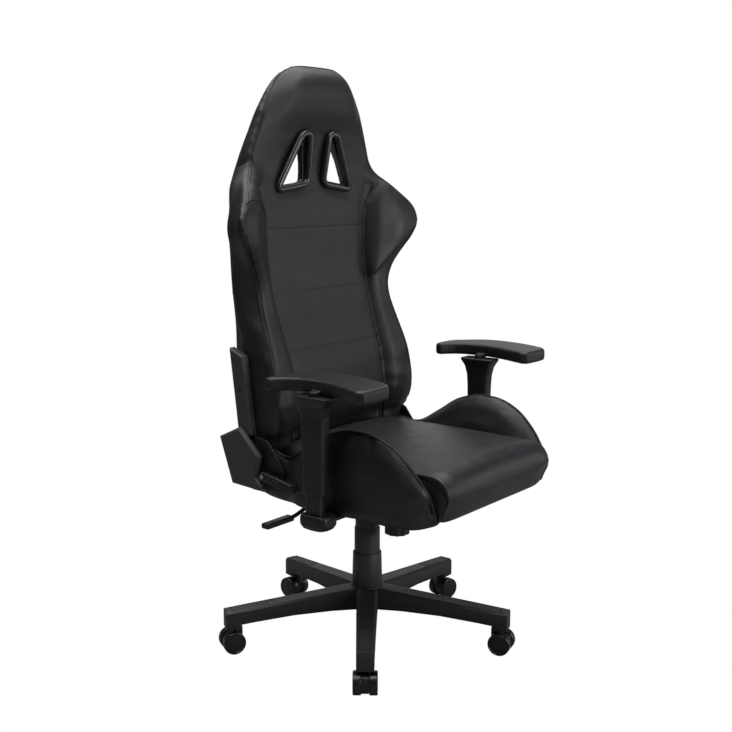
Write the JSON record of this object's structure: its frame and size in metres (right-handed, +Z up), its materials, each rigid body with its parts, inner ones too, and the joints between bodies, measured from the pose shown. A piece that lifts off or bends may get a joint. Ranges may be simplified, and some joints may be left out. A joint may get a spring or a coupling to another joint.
{
  "type": "gaming chair",
  "caption": "Racing-style swivel chair with bucket seat, winged reclining back with harness holes, adjustable armrests, tilt mechanism and gas lift on a castored star base",
  "frame": {"origin": "on the floor under the middle of the whole chair's bounding box", "axes": "+Z up, -Y the way the chair faces, +X the sitter's left"},
  "size_m": [0.7544, 0.6858, 1.284],
  "materials": {
    "base_nylon": "fine moulded grain, matte",
    "cover_plastic": "fine moulded grain, matte",
    "lever_plastic": "moulded, satin",
    "caster_plastic": "moulded, satin",
    "wheel_nylon": "smooth moulded",
    "black_steel": "black powder coat",
    "bright_steel": "ground, bright",
    "seat_leather": "smooth coated leather, soft sheen",
    "panel_leather": "finely textured coated leather, matte",
    "bezel_plastic": "smooth, glossy",
    "pad_rubber": "moulded soft plastic, brushed look",
    "webbing": "woven elastic strap"
  },
  "bodies": {
    "base": {"star_base": "base_nylon", "column_tube": "black_steel", "column_bush": "lever_plastic", "cover_lower": "cover_plastic"},
    "piston": {"piston_rod": "bright_steel"},
    "mechanism": {"pressure_tube": "black_steel", "cover_upper": "cover_plastic", "tilt_housing": "black_steel", "tilt_pin": "bright_steel", "tension_spring": "bright_steel"},
    "valve": {"valve_pin": "bright_steel"},
    "cover_stage": {"cover_middle": "cover_plastic"},
    "knob": {"tension_knob": "lever_plastic"},
    "lock_bush": {"lever_lock_bush": "lever_plastic"},
    "lift_lever": {"lever_rod": "black_steel", "lever_grip": "lever_plastic"},
    "seat": {"seat_plate": "black_steel", "seat_frame": "black_steel", "seat_webbing": "webbing", "seat_cushion": "seat_leather", "seat_wing_left": "seat_leather", "seat_wing_right": "seat_leather", "recline_shaft": "black_steel", "recline_cover_left": "cover_plastic", "recline_cover_right": "cover_plastic", "arm_bracket_left": "black_steel", "arm_bracket_right": "black_steel", "arm_boot_left": "cover_plastic", "arm_boot_right": "cover_plastic"},
    "back": {"back_frame": "black_steel", "upright_cover_left": "cover_plastic", "upright_cover_right": "cover_plastic", "back_cushion": "panel_leather", "back_bolster_left": "seat_leather", "back_bolster_right": "seat_leather", "harness_bezel_left": "bezel_plastic", "harness_bezel_right": "bezel_plastic"},
    "recline_release": {"recline_lever": "lever_plastic"},
    "arm_left": {"arm_sleeve_left": "cover_plastic"},
    "trigger_left": {"arm_trigger_left": "cover_plastic"},
    "pad_left": {"arm_pad_left": "pad_rubber"},
    "arm_right": {"arm_sleeve_right": "cover_plastic"},
    "trigger_right": {"arm_trigger_right": "cover_plastic"},
    "pad_right": {"arm_pad_right": "pad_rubber"},
    "caster_1": {"caster_1_body": "caster_plastic"},
    "wheel_1a": {"caster_1_wheel_a": "wheel_nylon"},
    "wheel_1b": {"caster_1_wheel_b": "wheel_nylon"},
    "caster_2": {"caster_2_body": "caster_plastic"},
    "wheel_2a": {"caster_2_wheel_a": "wheel_nylon"},
    "wheel_2b": {"caster_2_wheel_b": "wheel_nylon"},
    "caster_3": {"caster_3_body": "caster_plastic"},
    "wheel_3a": {"caster_3_wheel_a": "wheel_nylon"},
    "wheel_3b": {"caster_3_wheel_b": "wheel_nylon"},
    "caster_4": {"caster_4_body": "caster_plastic"},
    "wheel_4a": {"caster_4_wheel_a": "wheel_nylon"},
    "wheel_4b": {"caster_4_wheel_b": "wheel_nylon"},
    "caster_5": {"caster_5_body": "caster_plastic"},
    "wheel_5a": {"caster_5_wheel_a": "wheel_nylon"},
    "wheel_5b": {"caster_5_wheel_b": "wheel_nylon"}
  },
  "joints": [
    {"name": "seat_swivel", "type": "hinge", "parent": "base", "child": "piston", "pos_m": [-0.03, 0.01512, 0.07], "axis": [0, 0, 1], "continuous": true},
    {"name": "height_slide", "type": "slide", "parent": "piston", "child": "mechanism", "axis": [0, 0, 1], "range_m": [-0.02, 0.06]},
    {"name": "cover_slide", "type": "slide", "parent": "base", "child": "cover_stage", "axis": [0, 0, 1], "range_m": [-0.01, 0.03]},
    {"name": "lift_lever_hinge", "type": "hinge", "parent": "lock_bush", "child": "lift_lever", "pos_m": [-0.069, 0.06312, 0.315], "axis": [0, 1, 0], "range_deg": [0, 4.5], "stiffness_Nm_per_rad": 2, "springref_deg": -11.46},
    {"name": "tilt_lock_slide", "type": "slide", "parent": "mechanism", "child": "lock_bush", "axis": [-1, 0, 0], "range_m": [0, 0.01]},
    {"name": "valve_slide", "type": "slide", "parent": "mechanism", "child": "valve", "axis": [0, 0, -1], "range_m": [0, 0.003], "stiffness_N_per_m": 2000, "springref_m": -0.003},
    {"name": "tension_turn", "type": "hinge", "parent": "mechanism", "child": "knob", "pos_m": [-0.03, -0.06888, 0.274], "axis": [0, 0, 1], "continuous": true},
    {"name": "seat_tilt", "type": "hinge", "parent": "mechanism", "child": "seat", "pos_m": [-0.03, -0.04288, 0.335], "axis": [1, 0, 0], "range_deg": [-12, 0], "stiffness_Nm_per_rad": 120, "springref_deg": 34.38},
    {"name": "back_recline", "type": "hinge", "parent": "seat", "child": "back", "pos_m": [-0.03, 0.13112, 0.452], "axis": [-1, 0, 0], "range_deg": [-5, 60]},
    {"name": "recline_lever_hinge", "type": "hinge", "parent": "seat", "child": "recline_release", "pos_m": [-0.299, 0.08512, 0.42], "axis": [-1, 0, 0], "range_deg": [0, 25], "stiffness_Nm_per_rad": 0.6, "springref_deg": -34.38},
    {"name": "arm_left_height", "type": "slide", "parent": "seat", "child": "arm_left", "axis": [0, 0, 1], "range_m": [-0.035, 0.03]},
    {"name": "arm_left_trigger", "type": "slide", "parent": "arm_left", "child": "trigger_left", "axis": [0, -1, 0], "range_m": [0, 0.004], "stiffness_N_per_m": 800, "springref_m": -0.002},
    {"name": "pad_left_turn", "type": "hinge", "parent": "arm_left", "child": "pad_left", "pos_m": [0.275, -0.08788, 0.621], "axis": [0, 0, 1], "range_deg": [-20, 20]},
    {"name": "arm_right_height", "type": "slide", "parent": "seat", "child": "arm_right", "axis": [0, 0, 1], "range_m": [-0.035, 0.03]},
    {"name": "arm_right_trigger", "type": "slide", "parent": "arm_right", "child": "trigger_right", "axis": [0, -1, 0], "range_m": [0, 0.004], "stiffness_N_per_m": 800, "springref_m": -0.002},
    {"name": "pad_right_turn", "type": "hinge", "parent": "arm_right", "child": "pad_right", "pos_m": [-0.335, -0.08788, 0.621], "axis": [0, 0, 1], "range_deg": [-20, 20]},
    {"name": "caster_1_swivel", "type": "hinge", "parent": "base", "child": "caster_1", "pos_m": [-0.27214, -0.16536, 0.055], "axis": [0, 0, 1], "continuous": true},
    {"name": "caster_1_roll_a", "type": "hinge", "parent": "caster_1", "child": "wheel_1a", "pos_m": [-0.28256, -0.17313, 0.025], "axis": [-0.5976, 0.8018, 0], "continuous": true},
    {"name": "caster_1_roll_b", "type": "hinge", "parent": "caster_1", "child": "wheel_1b", "pos_m": [-0.28256, -0.17313, 0.025], "axis": [-0.5976, 0.8018, 0], "continuous": true},
    {"name": "caster_2_swivel", "type": "hinge", "parent": "base", "child": "caster_2", "pos_m": [0.06682, -0.27093, 0.055], "axis": [0, 0, 1], "continuous": true},
    {"name": "caster_2_roll_a", "type": "hinge", "parent": "caster_2", "child": "wheel_2a", "pos_m": [0.0699, -0.28356, 0.025], "axis": [-0.9715, -0.2368, 0], "continuous": true},
    {"name": "caster_2_roll_b", "type": "hinge", "parent": "caster_2", "child": "wheel_2b", "pos_m": [0.0699, -0.28356, 0.025], "axis": [-0.9715, -0.2368, 0], "continuous": true},
    {"name": "caster_3_swivel", "type": "hinge", "parent": "base", "child": "caster_3", "pos_m": [0.27197, 0.01881, 0.055], "axis": [0, 0, 1], "continuous": true},
    {"name": "caster_3_roll_a", "type": "hinge", "parent": "caster_3", "child": "wheel_3a", "pos_m": [0.28468, 0.01604, 0.025], "axis": [-0.213, -0.977, 0], "continuous": true},
    {"name": "caster_3_roll_b", "type": "hinge", "parent": "caster_3", "child": "wheel_3b", "pos_m": [0.28468, 0.01604, 0.025], "axis": [-0.213, -0.977, 0], "continuous": true},
    {"name": "caster_4_swivel", "type": "hinge", "parent": "base", "child": "caster_4", "pos_m": [0.0598, 0.30346, 0.055], "axis": [0, 0, 1], "continuous": true},
    {"name": "caster_4_roll_a", "type": "hinge", "parent": "caster_4", "child": "wheel_4a", "pos_m": [0.06078, 0.31642, 0.025], "axis": [0.9972, -0.075, 0], "continuous": true},
    {"name": "caster_4_roll_b", "type": "hinge", "parent": "caster_4", "child": "wheel_4b", "pos_m": [0.06078, 0.31642, 0.025], "axis": [0.9972, -0.075, 0], "continuous": true},
    {"name": "caster_5_swivel", "type": "hinge", "parent": "base", "child": "caster_5", "pos_m": [-0.27648, 0.18964, 0.055], "axis": [0, 0, 1], "continuous": true},
    {"name": "caster_5_roll_a", "type": "hinge", "parent": "caster_5", "child": "wheel_5a", "pos_m": [-0.2877, 0.1962, 0.025], "axis": [0.5045, 0.8634, 0], "continuous": true},
    {"name": "caster_5_roll_b", "type": "hinge", "parent": "caster_5", "child": "wheel_5b", "pos_m": [-0.2877, 0.1962, 0.025], "axis": [0.5045, 0.8634, 0], "continuous": true}
  ],
  "couplings": [
    {"joint": "cover_slide", "follows": "height_slide", "ratio": 0.5},
    {"joint": "valve_slide", "follows": "lift_lever_hinge", "m_per_rad": 0.03}
  ]
}
